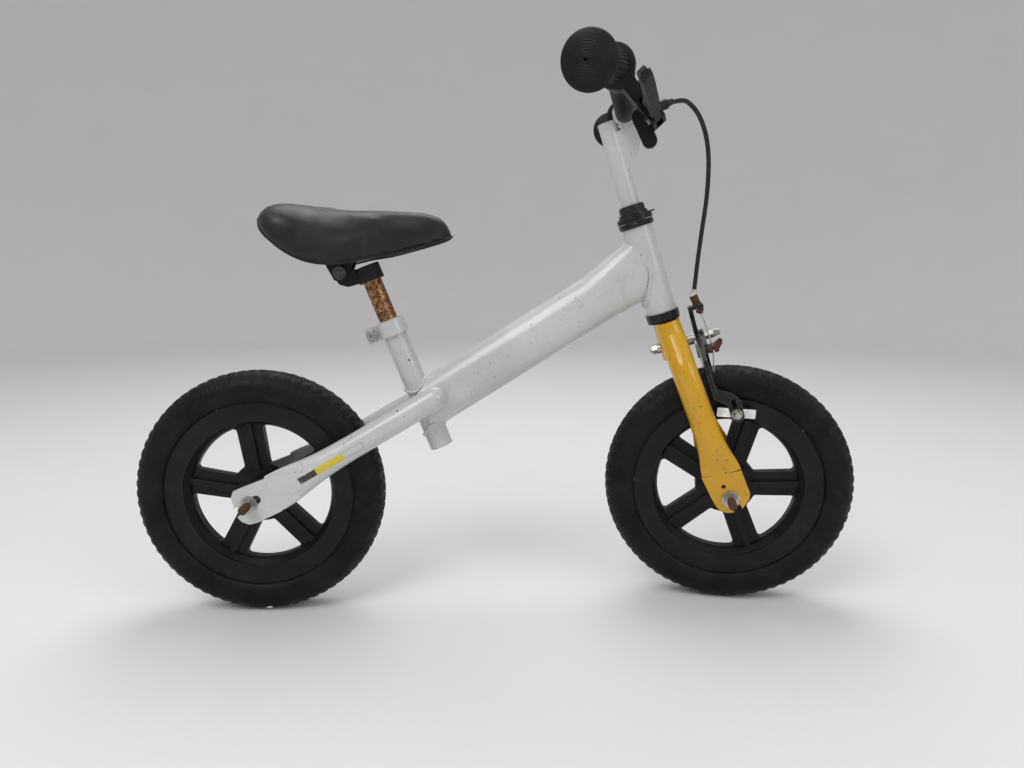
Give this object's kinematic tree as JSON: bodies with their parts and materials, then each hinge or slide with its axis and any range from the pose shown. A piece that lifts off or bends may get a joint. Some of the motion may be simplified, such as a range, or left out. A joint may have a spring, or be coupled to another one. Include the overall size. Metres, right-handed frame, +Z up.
{
  "type": "children's balance bike",
  "caption": "Pedal-less children's balance bike: steel frame and fork, foam-tyred spoked wheels, sliding saddle post, swept handlebar with safety grips, and a hand-operated front caliper brake.",
  "frame": {"origin": "centre of the rear axle; the ground is 150 mm below it", "axes": "+X forward, +Y to the rider's left along the rear axle, +Z up"},
  "size_m": [0.8737, 0.4915, 0.6467],
  "materials": {
    "frame_paint": "gloss, chipped",
    "fork_paint": "gloss, scratched",
    "black_steel": "satin",
    "black_plastic": "satin",
    "tyre_foam": "matt",
    "black_rubber": "satin",
    "zinc_steel": "zinc plated",
    "rusted_steel": "rusted",
    "post_chrome": "pitted chrome",
    "saddle_vinyl": "soft sheen"
  },
  "bodies": {
    "frame": {"head_tube": "frame_paint", "main_tube": "frame_paint", "seat_tube": "frame_paint", "right_stay": "frame_paint", "left_stay": "frame_paint", "seat_clamp": "frame_paint", "seat_clamp_bolt": "zinc_steel", "headset_cups": "black_steel", "rear_axle": "zinc_steel", "rear_axle_nuts": "zinc_steel", "rear_axle_spacers": "zinc_steel"},
    "rear_wheel": {"rear_wheel": "black_plastic", "rear_tyre": "tyre_foam", "rear_hub_bearings": "zinc_steel"},
    "front_end": {"fork_steerer": "fork_paint", "right_fork_blade": "fork_paint", "left_fork_blade": "fork_paint", "crown_race": "black_steel", "headset_balls": "zinc_steel", "headset_cone": "black_steel", "headset_washer": "black_steel", "headset_locknut": "black_steel", "front_axle": "zinc_steel", "front_axle_nuts": "zinc_steel", "front_axle_spacers": "zinc_steel", "stem": "frame_paint", "stem_expander_bolt": "zinc_steel", "stem_wedge": "zinc_steel", "stem_clamp_bolt": "zinc_steel", "handlebar": "black_steel", "right_grip": "black_rubber", "left_grip": "black_rubber", "lever_bracket": "black_plastic", "lever_clamp_bolt": "zinc_steel", "lever_pivot_pin": "zinc_steel", "cable_housing": "black_rubber", "caliper_bolt": "zinc_steel", "caliper_nuts": "zinc_steel", "caliper_spring": "zinc_steel"},
    "front_wheel": {"front_wheel": "black_plastic", "front_tyre": "tyre_foam", "front_hub_bearings": "zinc_steel"},
    "brake_lever": {"brake_lever": "black_plastic"},
    "right_brake_arm": {"right_caliper_arm": "black_steel", "right_pad_holder": "zinc_steel", "right_brake_pad": "black_rubber", "right_pad_nut": "zinc_steel", "barrel_adjuster": "rusted_steel"},
    "left_brake_arm": {"left_caliper_arm": "black_steel", "left_pad_holder": "zinc_steel", "left_brake_pad": "black_rubber", "left_pad_nut": "zinc_steel", "wire_anchor": "rusted_steel", "brake_wire": "zinc_steel", "wire_end_cap": "zinc_steel"},
    "seatpost": {"seatpost": "post_chrome", "saddle_clamp": "black_plastic", "saddle_clamp_bolt": "zinc_steel"},
    "saddle": {"saddle_base": "black_plastic", "saddle_pad": "saddle_vinyl"}
  },
  "joints": [
    {"name": "steering", "type": "hinge", "parent": "frame", "child": "front_end", "pos_m": [0.4906, 0, 0.2148], "axis": [-0.3024, 0, 0.9532], "range_deg": [-32.7, 57.3]},
    {"name": "front_wheel_spin", "type": "hinge", "parent": "front_end", "child": "front_wheel", "pos_m": [0.57544, -0.00346, -0.00011], "axis": [0.2031, 0.977, 0.0644], "continuous": true},
    {"name": "rear_wheel_spin", "type": "hinge", "parent": "frame", "child": "rear_wheel", "pos_m": [0, 0, 0], "axis": [0, 1, 0], "continuous": true},
    {"name": "seat_height", "type": "slide", "parent": "frame", "child": "seatpost", "axis": [-0.3584, 0, 0.9336], "range_m": [-0.03, 0.045]},
    {"name": "saddle_tilt", "type": "hinge", "parent": "seatpost", "child": "saddle", "pos_m": [0.10855, 0, 0.26413], "axis": [0, 1, 0], "range_deg": [-5, 5]},
    {"name": "brake_lever_pull", "type": "hinge", "parent": "front_end", "child": "brake_lever", "pos_m": [0.4479, -0.12314, 0.41632], "axis": [-0.7282, 0.1014, -0.6778], "range_deg": [0, 9], "stiffness_Nm_per_rad": 0.6, "springref_deg": -17.19},
    {"name": "right_brake_arm_swing", "type": "hinge", "parent": "front_end", "child": "right_brake_arm", "pos_m": [0.53145, -0.00639, 0.18296], "axis": [0.9313, -0.213, 0.2954], "range_deg": [0, 1]},
    {"name": "left_brake_arm_swing", "type": "hinge", "parent": "front_end", "child": "left_brake_arm", "pos_m": [0.53704, -0.00767, 0.18473], "axis": [-0.9313, 0.213, -0.2954], "range_deg": [0, 1]}
  ],
  "couplings": [
    {"joint": "right_brake_arm_swing", "follows": "brake_lever_pull", "ratio": 0.1},
    {"joint": "left_brake_arm_swing", "follows": "brake_lever_pull", "ratio": 0.1}
  ]
}
